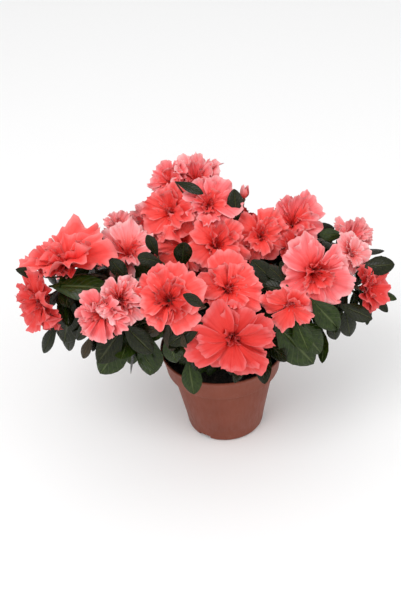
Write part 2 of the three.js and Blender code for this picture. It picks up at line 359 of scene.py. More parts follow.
def root_ball_mesh():
    rings, sides = 44, 150
    points, faces = [(0, 0, soil_height(0, 0))], []
    for i in range(1, rings + 1):
        level = circle(SOIL_EDGE[1] * i / rings, 0, sides, 0.5 * (i % 2))
        points += [(x, y, soil_height(x, y)) for x, y, _ in level]
    below = [(48.4 * MM, 68 * MM), (44.2 * MM, 64 * MM), (33.4 * MM, 8 * MM), (30 * MM, 3 * MM)]
    for radius, height in below:
        points += circle(radius, height, sides)
    for j in range(sides):
        faces.append((0, 1 + j, 1 + (j + 1) % sides))
    for i in range(rings + len(below) - 1):
        for j in range(sides):
            a, b = 1 + i * sides + j, 1 + i * sides + (j + 1) % sides
            faces.append((a, a + sides, b + sides, b))
    last = 1 + (rings + len(below) - 1) * sides
    faces.append(tuple(last + j for j in reversed(range(sides))))
    return points, faces


def new_tree(name, sockets):
    """A Geometry Nodes tree with named inputs. Returns it, a helper that adds nodes, its input, and a
    helper that ends it in a material."""
    tree = bpy.data.node_groups.new(name, "GeometryNodeTree")
    tree.interface.new_socket("Geometry", in_out="OUTPUT", socket_type="NodeSocketGeometry")
    tree.interface.new_socket("Geometry", in_out="INPUT", socket_type="NodeSocketGeometry")
    for label, kind in sockets:
        tree.interface.new_socket(label, in_out="INPUT", socket_type="NodeSocket" + kind)
    start = tree.nodes.new("NodeGroupInput")
    end = tree.nodes.new("NodeGroupOutput")
    add = node_adder(tree)

    def finish(geometry, material):
        dressed = add("GeometryNodeSetMaterial", {"Geometry": geometry, "Material": material})
        tree.links.new(dressed.outputs["Geometry"], end.inputs["Geometry"])

    return tree, add, start, finish


def set_on_points(add, inputs):
    """Sets a copy on each point and makes the copies real."""
    placed = add("GeometryNodeInstanceOnPoints", inputs)
    real = add("GeometryNodeRealizeInstances", {"Geometry": placed.outputs["Instances"]})
    return real.outputs["Geometry"]


def run_tree(piece, tree, values):
    """Runs a tree on a piece with its named inputs set, and keeps the result as a plain mesh."""
    modifier = piece.modifiers.new(tree.name, "NODES")
    modifier.node_group = tree
    for item in tree.interface.items_tree:
        if item.in_out == "INPUT" and item.name in values:
            modifier[item.identifier] = values[item.name]
    return settled(piece)


def crumb_tree():
    """Scatters rough crumbs over the upward faces of the peat and makes them real."""
    sockets = [("Crumbs per m2", "Float"), ("Largest", "Float"), ("Seed", "Int"), ("Peat", "Material")]
    tree, add, start, finish = new_tree("crumbs", sockets)
    upward = add("ShaderNodeSeparateXYZ", {"Vector": add("GeometryNodeInputNormal").outputs["Normal"]})
    is_top = add("FunctionNodeCompare", {"A": upward.outputs["Z"], "B": 0.55}, operation="GREATER_THAN")
    scatter = add(
        "GeometryNodeDistributePointsOnFaces",
        {"Mesh": start.outputs["Geometry"], "Selection": is_top.outputs["Result"],
         "Density": start.outputs["Crumbs per m2"], "Seed": start.outputs["Seed"]},
    )
    crumb = add("GeometryNodeMeshIcoSphere", {"Radius": 1.0, "Subdivisions": 1})
    size = add("FunctionNodeRandomValue", {"Min": (0.18, 0.18, 0.14), "Max": (1.0, 0.8, 0.55),
                                           "Seed": start.outputs["Seed"]}, data_type="FLOAT_VECTOR")
    scale = add("ShaderNodeVectorMath", {0: size.outputs["Value"], "Scale": start.outputs["Largest"]},
                operation="SCALE")
    turn = add("FunctionNodeRandomValue", {"Min": (0, 0, 0), "Max": (6.28, 6.28, 6.28), "Seed": 3},
               data_type="FLOAT_VECTOR")
    crumbs = set_on_points(add, {"Points": scatter.outputs["Points"], "Instance": crumb.outputs["Mesh"],
                                 "Rotation": turn.outputs["Value"], "Scale": scale.outputs["Vector"]})
    both = add("GeometryNodeJoinGeometry")
    for part in (start.outputs["Geometry"], crumbs):
        tree.links.new(part, both.inputs["Geometry"])
    finish(both.outputs["Geometry"], start.outputs["Peat"])
    return tree


def peat_material():
    """Near-black moist peat with browner fibres and a dull, uneven wetness."""
    material, add, wire = new_material("peat")
    place = add("ShaderNodeTexCoord").outputs["Object"]
    clods = noise(add, place, 160.0, 6.0, 0.75)
    damp = noise(add, place, 45.0, 3.0)
    browns = [(0.30, (0.005, 0.0035, 0.0025)), (0.55, (0.016, 0.010, 0.007)),
              (0.72, (0.060, 0.034, 0.022))]
    wire("Base Color", ramp(add, clods, browns))
    wire("Roughness", spread(add, damp, 0.35, 0.65, 0.62, 0.95))
    emboss(add, wire, clods, 0.9, 0.0012)
    return material


peat = add_piece("peat", *root_ball_mesh())
run_tree(peat, crumb_tree(), {"Crumbs per m2": 160000.0, "Largest": 1.5 * MM, "Seed": PEAT_SEED,
                              "Peat": peat_material()})
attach(peat, "root")
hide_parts("root_ball")


# ---- Trunk and boughs ----
# A short woody stem with a root flare forks just above the peat into slender boughs. The bark is
# thin and grey-brown, ridged lengthwise and flaking; old leaf scars make small knots on it.
FORK = Vector((0, 0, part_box("trunk")[1].z))
TRUNK_RADIUS = 5.6  # millimetres at the peat, without the flare of the roots
ROOT_FLARE = 3.4
TRUNK_SIDES = 20
BOUGH_SIDES = 14
BOUGH_RADII = (2.7, 1.25)  # millimetres at the fork and at the tip


def nodes_named(start):
    return [name for name in frame["nodes"] if name.startswith(start)]


def centre_line(node, stages):
    """The middle of a limb at a few stages from its foot to its tip, taken from its own corners."""
    corners = {tuple(round(c, 5) for c in v.co) for v in frame["nodes"][node].data.vertices}
    corners = np.array(sorted(corners))
    foot = np.array([0, 0, corners[:, 2].min()]) if node == "trunk" else np.array(FORK)
    order = np.argsort(np.linalg.norm(corners - foot, axis=1))
    return [corners[part].mean(axis=0) for part in np.array_split(order, stages)]


def smooth_path(points, steps):
    """A Catmull-Rom curve through the points, sampled evenly in its parameter."""
    points = np.array(points, float)
    padded = np.vstack([2 * points[0] - points[1], points, 2 * points[-1] - points[-2]])
    where = np.linspace(0, len(points) - 1 - 1e-9, steps)
    i, t = where.astype(int), (where % 1)[:, None]
    a, b, c, d = padded[i], padded[i + 1], padded[i + 2], padded[i + 3]
    return 0.5 * (2 * b + (c - a) * t + (2 * a - 5 * b + 4 * c - d) * t**2
                  + (3 * b - 3 * c + d - a) * t**3)


def across_path(path):
    """Two directions square to a path at each point, carried along it without twisting."""
    ahead = np.gradient(path, axis=0)
    ahead /= np.linalg.norm(ahead, axis=1, keepdims=True)
    side = np.cross(ahead[0], (0.3, 0.9, 0.1))
    sides = []
    for way in ahead:
        side = side - way * side.dot(way)
        side = side / np.linalg.norm(side)
        sides.append(side)
    sides = np.array(sides)
    return sides, np.cross(ahead, sides)


def tube(path, radii, sides, relief=None):
    """A closed tapering tube; relief(point) adds to the radius."""
    first, second = across_path(path)
    points = []
    for i, middle in enumerate(path):
        for j in range(sides):
            turn = math.tau * j / sides
            way = first[i] * math.cos(turn) + second[i] * math.sin(turn)
            radius = radii[i]
            if relief:
                radius += relief(middle + way * radius)
            points.append(middle + way * radius)
    rings = len(path)
    faces = [
        (i * sides + j, i * sides + (j + 1) % sides,
         (i + 1) * sides + (j + 1) % sides, (i + 1) * sides + j)
        for i in range(rings - 1)
        for j in range(sides)
    ]
    foot, tip = len(points), len(points) + 1
    points += [path[0], path[-1]]
    top = (rings - 1) * sides
    faces += [(foot, (j + 1) % sides, j) for j in range(sides)]
    faces += [(tip, top + j, top + (j + 1) % sides) for j in range(sides)]
    return points, faces


def joined(parts):
    """Puts many (points, faces) parts into one."""
    points, faces = [], []
    for part_points, part_faces in parts:
        base = len(points)
        points += [tuple(point) for point in part_points]
        faces += [tuple(base + corner for corner in face) for face in part_faces]
    return points, faces


def bark_relief(depth):
    def relief(point):
        x, y, z = point
        ridges = turbulence(Vector((x * 700, y * 700, z * 130)), 3, False)
        knots = turbulence(Vector((x * 120, y * 120, z * 90)), 2, False)
        return depth * (ridges - 0.5) + depth * 1.4 * (knots - 0.5)

    return relief


def bark_material():
    """Grey-brown bark with darker furrows and paler flakes."""
    material, add, wire = new_material("bark", {"Roughness": 0.86})
    place = add("ShaderNodeTexCoord").outputs["Object"]
    long_way = add("ShaderNodeMapping", {"Vector": place, "Scale": (1, 1, 0.22)}).outputs["Vector"]
    grain = noise(add, long_way, 900.0, 5.0, 0.7)
    patches = noise(add, place, 130.0, 4.0)
    browns = [(0.32, (0.020, 0.011, 0.007)), (0.52, (0.085, 0.050, 0.032)), (0.70, (0.170, 0.115, 0.080))]
    flakes = ramp(add, patches, [(0.52, (0, 0, 0)), (0.62, (0.6, 0.6, 0.6))])
    wire("Base Color", mixed(add, flakes, ramp(add, grain, browns), (0.20, 0.155, 0.118, 1)))
    emboss(add, wire, grain, 0.7, 0.0006)
    return material


BOUGHS = sorted(nodes_named("bough"))
bough_lines = [[FORK * 0.93, *map(Vector, centre_line(name, 5))] for name in BOUGHS]
trunk_line = centre_line("trunk", 7)
trunk_line[0][2] = SOIL_TOP - 1.5 * MM
trunk_path = smooth_path(trunk_line, 46)
trunk_share = np.linspace(0, 1, len(trunk_path))
trunk_radii = (TRUNK_RADIUS - trunk_share + ROOT_FLARE * np.exp(-7 * trunk_share)) * MM
limbs = [tube(trunk_path, trunk_radii, TRUNK_SIDES, bark_relief(1.1 * MM))]
for line in bough_lines:
    path = smooth_path(line, 44)
    radii = np.linspace(*BOUGH_RADII, len(path)) * MM
    limbs.append(tube(path, radii, BOUGH_SIDES, bark_relief(0.5 * MM)))
wood = add_piece("trunk_and_boughs", *joined(limbs))
wood.data.materials.append(bark_material())
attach(wood, "root")
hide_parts("trunk", *BOUGHS)


# ---- Twigs ----
# Every flower head and every tuft of leaves sits on its own thin green-brown twig. A twig leaves
# the nearest bough, swings up and ends pointing the way its flower or tuft faces.
# Heads: the part it stands in, azimuth and rise of the way it faces, its width in millimetres, the
# tones of its outer and inner petals, its form, how far it opens, and its place in millimetres from
# the middle of its part.
HEADS = [
    ("head_summit", -85, 62, 50, "blush", "pink", "bowl", 0.8, (6, 9, 0)),
    ("head_summit", -130, 42, 44, "pink", "coral", "collar", 0.95, (-19, 9, -4)),
    ("head_top_left", -124, 42, 57, "coral", "coral", "collar", 1.0, (4, -5, 9)),
    ("head_top_middle", -72, 45, 52, "pink", "coral", "collar", 0.95, (0, -6, 12)),
    ("head_middle", -62, 44, 58, "coral", "coral", "cupped", 1.0, (3, 6, -1)),
    ("head_middle", -112, 24, 62, "coral", "coral", "open", 1.05, (-30, 12, -7)),
    ("head_right_middle", -80, 46, 52, "coral", "coral", "collar", 0.95, (-4, 0, 5)),
    ("head_front_middle", -68, 42, 58, "coral", "coral", "collar", 0.95, (0, -2, 8)),
    ("head_front_low", -88, 12, 74, "vermilion", "vermilion", "open", 1.0, (4, -7, 10)),
    ("head_front_left", -95, 38, 60, "coral", "vermilion", "collar", 1.0, (-9, -2, 5)),
    ("head_front_right", -112, -4, 46, "coral", "pink", "open", 0.95, (0, -1, 0)),
    ("head_left_middle", -100, 66, 58, "blush", "coral", "full", 0.9, (-3, 2, 7)),
    ("head_left_front", -85, 40, 43, "blush", "coral", "tight", 0.95, (4, -4, 9)),
    ("head_left_front", -112, 14, 47, "pink", "coral", "tight", 0.95, (-12, -8, -2)),
    ("head_left", -92, 84, 82, "coral", "coral", "collar", 0.9, (-5, -2, 4)),
    ("head_far_left", -131, 0, 61, "vermilion", "vermilion", "full", 0.92, (-2, -4, 0)),
    ("head_left_back", -80, 70, 25, "blush", "pink", "bowl", 0.62, (-8, 6, -1)),
    ("head_left_back", -85, 66, 38, "blush", "pink", "bowl", 0.72, (19, 4, 2)),
    ("head_right", -80, 16, 67, "pink", "coral", "cupped", 0.95, (2, -2, 1)),
    ("head_right_top", -85, 62, 57, "pink", "coral", "bowl", 1.0, (0, 0, 7)),
    # This small low bloom has the darker vermilion tone as painted shade, for the shade it lies in under
    # the flowers above it.
    ("head_right_top", -80, 20, 36, "vermilion", "vermilion", "bowl", 0.9, (-1, -35, -3)),
    ("head_right_outer", -45, 34, 41, "blush", "blush", "open", 0.95, (4, -2, 1)),
    ("head_right_back", -60, 65, 37, "blush", "pink", "bowl", 0.8, (8, -11, 7)),
    ("head_far_right", -40, 22, 42, "vermilion", "coral", "bowl", 0.9, (-1, 0, 2)),
    ("head_back_top", 95, 48, 56, "coral", "coral", "full", 0.95, (0, 0, 2)),
    ("head_back_top_left", 125, 42, 56, "pink", "coral", "full", 0.95, (0, 0, 0)),
    ("head_back_top_right", 62, 45, 58, "vermilion", "vermilion", "collar", 1.0, (0, 0, 0)),
    ("head_back_right", 42, 28, 58, "coral", "vermilion", "full", 1.0, (0, 0, 0)),
    ("head_back", 84, 20, 66, "vermilion", "vermilion", "open", 1.0, (0, 0, 0)),
    ("head_back_left", 112, 22, 58, "coral", "coral", "full", 0.95, (0, 0, 0)),
    ("head_back_outer_left", 140, 25, 60, "vermilion", "vermilion", "collar", 1.0, (0, 0, 0)),
    ("head_back_far_left", 165, 25, 56, "pink", "coral", "bowl", 1.0, (0, 0, 0)),
    ("head_back_top_right", 60, 75, 21, "blush", "blush", "bud", 1.0, (-6, -18, 38)),
]
# Leaves that stand out by themselves, by the part they are near: the stalk's foot in millimetres
# from the middle of that part, azimuth and rise of the way the leaf runs, its length in millimetres
# and its shape.
SHOWY_LEAVES = {
    "head_left": [((-23, -10, -14), -155, 35, 26, 3), ((-19, -22, -15), -15, 6, 50, 0)],
    "skirt_left": [((4, -11, 27), -165, -73, 50, 1), ((-1, -5, 6), -170, -78, 44, 3),
                   ((-12, -7, -2), -170, -58, 36, 3), ((24, -23, 15), -175, -48, 33, 3),
                   ((17, -25, -4), -170, -65, 27, 3)],
    "skirt_left_front": [((12, -10, 26), -157, -45, 38, 1), ((14, -6, 16), -168, -52, 46, 1),
                         ((11, -16, 36), -20, -50, 38, 0)],
    "skirt_front_left": [((-11, 1, 12), -120, -80, 40, 1), ((2, -1, 14), -25, -78, 33, 0),
                         ((18, -1, -13), -80, -65, 32, 1)],
    "head_front_low": [((-18, 3, 28), -160, -20, 34, 0)],
    "head_front_left": [((20, -12, 3), -140, 48, 27, 3)],
    "head_middle": [((-30, -18, -8), -60, 76, 28, 1), ((-44, -24, 3), -155, 32, 24, 1),
                    ((-48, -14, 3), 160, 68, 20, 0)],
    "head_left_middle": [((0, -34, -3), 160, 54, 24, 1), ((-12, -6, 10), -155, -14, 24, 0)],
    "head_top_middle": [((20, -9, -9), 90, 76, 30, 0)],
    "head_right_middle": [((5, -52, -15), 145, 38, 32, 1)],
    "head_right_top": [((39, -31, 5), -155, 20, 24, 0)],
    "head_right_outer": [((5, -10, -8), -13, 10, 30, 1)],
    "head_far_right": [((2, 7, -7), -15, -16, 22, 3), ((0, 5, -7), -23, -46, 24, 3)],
    "skirt_right": [((1, -9, 20), -12, -20, 33, 0), ((8, -7, 14), -20, -78, 32, 0),
                    ((-4, -7, 7), -20, -76, 27, 0), ((-22, -19, 35), -16, -50, 38, 1)],
    "skirt_front_right": [((6, 2, 25), -60, -50, 30, 1), ((-11, 0, 24), -10, -52, 56, 1),
                          ((3, 2, 26), -10, -55, 46, 1), ((-16, 2, 39), -68, -70, 26, 0)],
    "head_summit": [((-12, -18, 9), -35, -6, 27, 3)],
}
FLOWER_DEPTH = 0.265  # from its rim to its foot, as a share of its width
BUD_WIDTH = 26 * MM  # a narrower flower is a bud and has no leaves of its own
TUFTS_UP_TO = 215 * MM  # flowers higher than this have no side tufts
TWIG_SEED = 21
TWIG_SIDES = 6
TWIG_STAGES = 10


def facing(azimuth, rise):
    turn, up = math.radians(azimuth), math.radians(rise)
    return Vector((math.cos(turn) * math.cos(up), math.sin(turn) * math.cos(up), math.sin(up)))


def off_axis(rng, way, least, most):
    """A direction between least and most degrees off the given one."""
    side = way.orthogonal().normalized()
    side.rotate(Matrix.Rotation(rng.uniform(0, math.tau), 3, way))
    lean = math.radians(rng.uniform(least, most))
    return (way * math.cos(lean) + side * math.sin(lean)).normalized()


def twig(start, leave, end, arrive, thick, thin):
    reach = (end - start).length
    a, b = start + leave * reach * 0.38, end - arrive * reach * 0.36
    path = []
    for t in np.linspace(0, 1, TWIG_STAGES):
        back = 1 - t
        path.append(start * back**3 + a * 3 * t * back**2 + b * 3 * t**2 * back + end * t**3)
    return np.array([tuple(point) for point in path]), np.linspace(thick, thin, TWIG_STAGES)


def nearest_on_boughs(place):
    """The point of the boughs' outer halves that lies nearest, and the way the bough runs there."""
    outer = [(path[i], path[i] - path[i - 1]) for path in bough_paths for i in range(11, 23)]
    point, along = min(outer, key=lambda spot: (Vector(spot[0]) - place).length)
    return Vector(point), Vector(along).normalized()


def place_at(node, shift):
    """The place that lies a shift in millimetres from the middle of a part."""
    low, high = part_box(node)
    return (low + high) / 2 + Vector(shift) * MM


def plan_shoots(rng, spots, lone):
    """Flower shoots from the table, side tufts below them, hanging tufts in the skirt, tufts on the
    boughs and lone leaves. Each is (foot, way it faces, kind, twig path, twig radii)."""
    shoots = []

    def grow(foot, way, kind, start=None, leave=None, thick=1.1, tip=()):
        if start is None:
            start, leave = nearest_on_boughs(foot)
        path, radii = twig(start, leave, foot, way, thick * MM, 0.75 * MM)
        for gap, radius in tip:
            path = np.vstack([path, foot + way * gap * MM])
            radii = np.append(radii, radius * MM)
        shoots.append((foot, way, kind, path, radii))
        return path

    for middle, way, width in spots:
        gap = 5 + width / MM * 0.04
        foot = middle - way * (width * FLOWER_DEPTH + gap * MM)
        swelling = ((gap * 0.5, 0.8), (gap * 0.8, 1.5), (gap, min(2.2, width / MM * 0.06)))
        bud = width < BUD_WIDTH
        path = grow(foot, way, "bare" if bud else "flower", tip=swelling)
        for _ in range(0 if bud or middle.z > TUFTS_UP_TO else 2):
            k = int(rng.integers(4, 8))
            side_way = off_axis(rng, way, 65, 105)
            tip = foot + side_way * rng.uniform(8, 16) * MM - way * rng.uniform(0, 8) * MM
            start = Vector(path[k])
            grow(tip, side_way, "tuft", start, Vector(path[k + 1] - path[k]).normalized(), 1.0)
    for node in sorted(nodes_named("skirt")):
        low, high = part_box(node)
        middle = (low + high) / 2
        outward = math.degrees(math.atan2(middle.y, middle.x))
        at_front = middle.y < 20 * MM
        for _ in range(2 if at_front else 4):
            share = Vector(rng.uniform(-0.2, 0.2, 3))
            place = middle + Vector(((high - low)[i] * share[i] for i in range(3)))
            place -= facing(outward, -20) * (26 if at_front else 14) * MM
            way = facing(outward + rng.uniform(-50, 50), rng.uniform(-50, 5))
            grow(place, way, "skirt")
    for path in bough_paths:
        for i in range(9, 23, 2):
            along = Vector(path[i] - path[i - 1]).normalized()
            side_way = off_axis(rng, along, 45, 85)
            tip = Vector(path[i]) + side_way * rng.uniform(8, 16) * MM
            grow(tip, side_way, "tuft", Vector(path[i]), along)
    for foot, *_ in lone:
        start, _ = nearest_on_boughs(foot)
        grow(foot, (foot - start).normalized(), "bare", thick=0.85)
    return shoots


def twig_material():
    """Young wood: brown bark with green showing through in patches."""
    material, add, wire = new_material("twig_bark", {"Roughness": 0.75})
    place = add("ShaderNodeTexCoord").outputs["Object"]
    patches = noise(add, place, 190.0, 4.0, 0.7)
    tints = [(0.35, (0.045, 0.022, 0.013)), (0.52, (0.095, 0.055, 0.028)), (0.68, (0.085, 0.095, 0.030))]
    wire("Base Color", ramp(add, patches, tints))
    emboss(add, wire, patches, 0.5, 0.0004)
    return material


bough_paths = [smooth_path(line, 24) for line in bough_lines]
# the middle of each flower's rim, the way it faces and its width
flower_spots = [
    (place_at(node, shift), facing(azimuth, rise), width * MM)
    for node, azimuth, rise, width, *_, shift in HEADS
]
lone_leaves = [
    (place_at(node, shift), *look) for node, leaves in SHOWY_LEAVES.items() for shift, *look in leaves
]
shoots = plan_shoots(np.random.default_rng(TWIG_SEED), flower_spots, lone_leaves)
twigs = add_piece("twigs", *joined(tube(path, radii, TWIG_SIDES) for _, _, _, path, radii in shoots))
twigs.data.materials.append(twig_material())
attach(twigs, "root")


# ---- Leaves ----
# Leathery evergreen leaves, widest past the middle, with a sunk midrib and a blunt point. They
# stand in whorls under each flower and tuft and hang in a skirt round the foot of the crown.
LEAF_STAGES = np.array([0, 0.06, 0.18, 0.33, 0.48, 0.62, 0.76, 0.88, 0.96, 1.0])
LEAF_COLUMNS = 4
LEAF_SEED = 33
LEAF_TINTS = {
    "leaves_dark": ((0.005, 0.007, 0.001), (0.013, 0.017, 0.003), (0.040, 0.046, 0.016)),
    "leaves_green": ((0.010, 0.021, 0.002), (0.026, 0.047, 0.005), (0.070, 0.094, 0.028)),
    "leaves_bronze": ((0.024, 0.015, 0.006), (0.044, 0.029, 0.012), (0.080, 0.056, 0.028)),
}
TINT_SHARES = {"leaves_dark": 0.58, "leaves_green": 0.34, "leaves_bronze": 0.08}
# kind: leaves in the whorl, least and most lean off the shoot, shortest and longest leaf in mm
WHORLS = {"flower": (7, 84, 116, 20, 31), "tuft": (7, 38, 84, 22, 34), "skirt": (7, 24, 74, 32, 46)}
GOLDEN_ANGLE = 2.39996


def leaf_blade(width, fold, arch, twist):
    """A leaf one unit long from its stalk at the origin along +Y, upper face up."""
    along = LEAF_STAGES
    blade = np.clip((along - 0.05) / 0.95, 0, 1)
    half = width / 2 * np.sin(math.pi * blade**1.18) ** 0.62 * (0.62 + 0.38 * np.clip(2 * blade, 0, 1))
    half = half + 0.014 * (1 - blade)
    half[-1] = 0.008
    drop = np.radians(arch) * (along - 0.25)
    step = np.diff(along, prepend=0)
    y, z = np.cumsum(np.cos(drop) * step), -np.cumsum(np.sin(drop) * step)
    points, places = [], []
    for i in range(len(along)):
        for j in range(LEAF_COLUMNS + 1):
            across = 2 * j / LEAF_COLUMNS - 1
            rise = abs(across) * math.tan(math.radians(fold)) - 0.35 * across**4
            turn = twist * along[i]
            x = half[i] * across
            up = half[i] * rise
            points.append((x * math.cos(turn) - up * math.sin(turn), y[i],
                           z[i] + x * math.sin(turn) + up * math.cos(turn)))
            places.append((0.5 + 0.48 * across, 0.01 + 0.98 * along[i]))
    row = LEAF_COLUMNS + 1
    faces = [(i * row + j, i * row + j + 1, (i + 1) * row + j + 1, (i + 1) * row + j)
             for i in range(len(along) - 1) for j in range(LEAF_COLUMNS)]
    return points, faces, places


def lay_pattern(piece, places):
    """Gives a piece its own pattern map, with one place for each of its points."""
    layer = piece.data.uv_layers.new(name="OFBake")
    corners = np.zeros(len(piece.data.loops), int)
    piece.data.loops.foreach_get("vertex_index", corners)
    layer.data.foreach_set("uv", np.array(places, float)[corners].ravel())
    layer.active_render = True


def leaf_material(name, tints):
    """Glossy leaf: a pale sunk midrib, curved side veins, and a mottled, slightly quilted blade."""
    material, add, wire = new_material(name, {"Roughness": 0.22, "Specular IOR Level": 0.24})
    place = add("ShaderNodeUVMap", uv_map="OFBake").outputs["UV"]
    parts = add("ShaderNodeSeparateXYZ", {"Vector": place})
    off = maths(add, "ABSOLUTE", maths(add, "SUBTRACT", parts.outputs["X"], 0.5))
    rib = spread(add, off, 0.012, 0.055, 1.0, 0.0)
    slant = maths(add, "MULTIPLY_ADD", off, -0.55, parts.outputs["Y"])
    veins = maths(add, "SINE", maths(add, "MULTIPLY", slant, 56.0))
    marks = maths(add, "MAXIMUM", rib, spread(add, veins, 0.80, 1.0, 0.0, 0.30))
    mottle = noise(add, place, 7.0, 5.0, 0.6)
    base = ramp(add, mottle, [(0.35, tints[0]), (0.65, tints[1])])
    wire("Base Color", mixed(add, marks, base, (*tints[2], 1)))
    emboss(add, wire, maths(add, "MULTIPLY_ADD", mottle, 0.5, marks), 0.8, 0.0009, invert=True)
    return material


def leaf_tree():
    """Sets a leaf of the named shape at each point, turned and sized by the point's own values."""
    tree, add, start, finish = new_tree(
        "leaf_whorls", [("Shapes", "Collection"), ("Leaf size", "Float"), ("Leaf", "Material")]
    )
    shapes = add("GeometryNodeCollectionInfo", {"Collection": start.outputs["Shapes"],
                                                "Separate Children": True, "Reset Children": True})
    turn = add("GeometryNodeInputNamedAttribute", {"Name": "turn"}, data_type="FLOAT_VECTOR")
    size = add("GeometryNodeInputNamedAttribute", {"Name": "size"}, data_type="FLOAT")
    shape = add("GeometryNodeInputNamedAttribute", {"Name": "shape"}, data_type="INT")
    scale = maths(add, "MULTIPLY", size.outputs["Attribute"], start.outputs["Leaf size"])
    leaves = set_on_points(
        add,
        {"Points": start.outputs["Geometry"], "Instance": shapes.outputs["Instances"],
         "Pick Instance": True, "Instance Index": shape.outputs["Attribute"],
         "Rotation": turn.outputs["Attribute"], "Scale": scale},
    )
    finish(leaves, start.outputs["Leaf"])
    return tree


def leaf_turn(way, face, roll):
    """The rotation of a leaf that runs along way with its upper face towards face."""
    up = (face - way * face.dot(way)).normalized()
    side = way.cross(up)
    turn = Matrix((side, way, up)).transposed()
    turn = turn @ Matrix.Rotation(roll, 3, "Y")
    return turn.to_euler()


def clear_of_flowers(points):
    """Whether no point lies in a flower or close before its face."""
    for middle, way, width in flower_spots:
        reach = width / 2
        for point in points:
            gap = point - middle
            ahead = gap.dot(way)
            share = (gap - way * ahead).length / reach
            if share < 1.08 and -0.55 * reach * (1 - share) - 3 * MM < ahead < 30 * MM:
                return False
    return True


def whorl(rng, foot, way, kind):
    """Leaves round a shoot's tip by the golden angle, the upper ones more upright. A leaf that would
    grow into a flower is left out."""
    count, upright, splayed, shortest, longest = WHORLS[kind]
    leaves = []
    spin = rng.uniform(0, math.tau)
    side = way.orthogonal().normalized()
    for i in range(count):
        share = (i + rng.uniform(-0.3, 0.3)) / count
        out = side.copy()
        out.rotate(Matrix.Rotation(spin + i * GOLDEN_ANGLE, 3, way))
        lean = math.radians(upright + (splayed - upright) * share + rng.uniform(-8, 8))
        along = (way * math.cos(lean) + out * math.sin(lean)).normalized()
        along = (along + Vector((0, 0, -0.16))).normalized()
        base = foot - way * (1 + 9 * share) * MM + out * 0.8 * MM
        length = rng.uniform(shortest, longest) * MM
        face = way + Vector((0, 0, 0.5))
        turn, shape = leaf_turn(along, face, rng.normal(0, 0.25)), rng.integers(0, 6)
        if clear_of_flowers([base + along * length * part for part in (0.45, 0.75, 1.0)]):
            leaves.append((base, turn, length, shape))
    return leaves


def leaf_piece(name, leaves, tree, shapes):
    feet, turns, lengths, forms = zip(*leaves)
    mesh = bpy.data.meshes.new(name)
    mesh.from_pydata(feet, [], [])
    for key, kind, field, values in (
        ("turn", "FLOAT_VECTOR", "vector", turns),
        ("size", "FLOAT", "value", lengths),
        ("shape", "INT", "value", forms),
    ):
        attribute = mesh.attributes.new(key, kind, "POINT")
        attribute.data.foreach_set(field, np.array(values).ravel())
    piece = add_object(name, mesh)
    material = leaf_material(name, LEAF_TINTS[name])
    run_tree(piece, tree, {"Shapes": shapes, "Leaf size": 1.0, "Leaf": material})
    piece.data.shade_smooth()
    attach(piece, "root")
    return piece


def leaf_shapes():
    """Six leaves that differ in width, fold, arch and twist, kept out of the scene."""
    shapes = bpy.data.collections.new("leaf_shapes")
    looks = [(0.46, 12, 24, 0.1), (0.54, 8, 14, -0.1), (0.42, 20, 46, 0.2),
             (0.32, 22, 22, -0.2), (0.44, 14, -12, 0.25), (0.50, 10, 56, -0.2)]
    for i, (width, fold, arch, twist) in enumerate(looks):
        points, faces, pattern = leaf_blade(width, fold, arch, twist)
        leaf = add_piece(f"leaf_shape_{i}", points, faces)
        lay_pattern(leaf, pattern)
        bpy.context.scene.collection.objects.unlink(leaf)
        shapes.objects.link(leaf)
    return shapes


rng = np.random.default_rng(LEAF_SEED)
leaves_by_tint = {name: [] for name in LEAF_TINTS}
for foot, way, kind, _, _ in shoots:
    tint = rng.choice(list(TINT_SHARES), p=list(TINT_SHARES.values()))
    if kind != "bare":
        leaves_by_tint[tint] += whorl(rng, foot, way, kind)
for foot, azimuth, rise, length, shape in lone_leaves:
    tint = rng.choice(list(TINT_SHARES), p=list(TINT_SHARES.values()))
    turn = leaf_turn(facing(azimuth, rise), facing(-90, 45), rng.normal(0, 0.12))
    leaves_by_tint[tint].append((foot, turn, length * MM, shape))
leaf_forms = leaf_shapes()
whorl_tree = leaf_tree()
foliage = [leaf_piece(name, leaves, whorl_tree, leaf_forms) for name, leaves in leaves_by_tint.items()]
for leaf in list(leaf_forms.objects):
    bpy.data.objects.remove(leaf)
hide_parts(*nodes_named("skirt"))


# ---- Flowers ----
# Double azalea flowers: rings of broad, pleated petals with ragged, ruffled edges, each ring
# smaller and more upright than the one outside it, crumpled in the throat. Colour runs from deep
# red in the throat through coral to a paler edge, which is partly the petals' own paler margin and
# partly a painted highlight where the ruffled edges catch the light. Each tone is a piece of its own.
PETAL_SEED = 47
TONE_STAGES = (0.10, 0.34, 0.58, 0.84, 0.985)  # where along a petal each colour of its tone lies
# The edge colour of each tone is partly the petals' own paler margin and partly a painted highlight where
# the ruffled edges catch the light.
TONES = {  # throat, inner, middle, outer, edge
    "coral": ((0.70, 0.022, 0.015), (0.84, 0.038, 0.028), (0.90, 0.064, 0.052), (0.90, 0.088, 0.080),
              (0.90, 0.210, 0.205)),
    "vermilion": ((0.58, 0.015, 0.011), (0.70, 0.024, 0.018), (0.69, 0.030, 0.023), (0.71, 0.046, 0.042),
                  (0.75, 0.130, 0.130)),
    "pink": ((0.72, 0.028, 0.022), (0.86, 0.056, 0.048), (0.90, 0.105, 0.105), (0.88, 0.165, 0.175),
             (0.90, 0.340, 0.345)),
    "blush": ((0.78, 0.045, 0.035), (0.88, 0.090, 0.078), (0.92, 0.190, 0.185), (0.91, 0.285, 0.295),
              (0.92, 0.470, 0.465)),
}
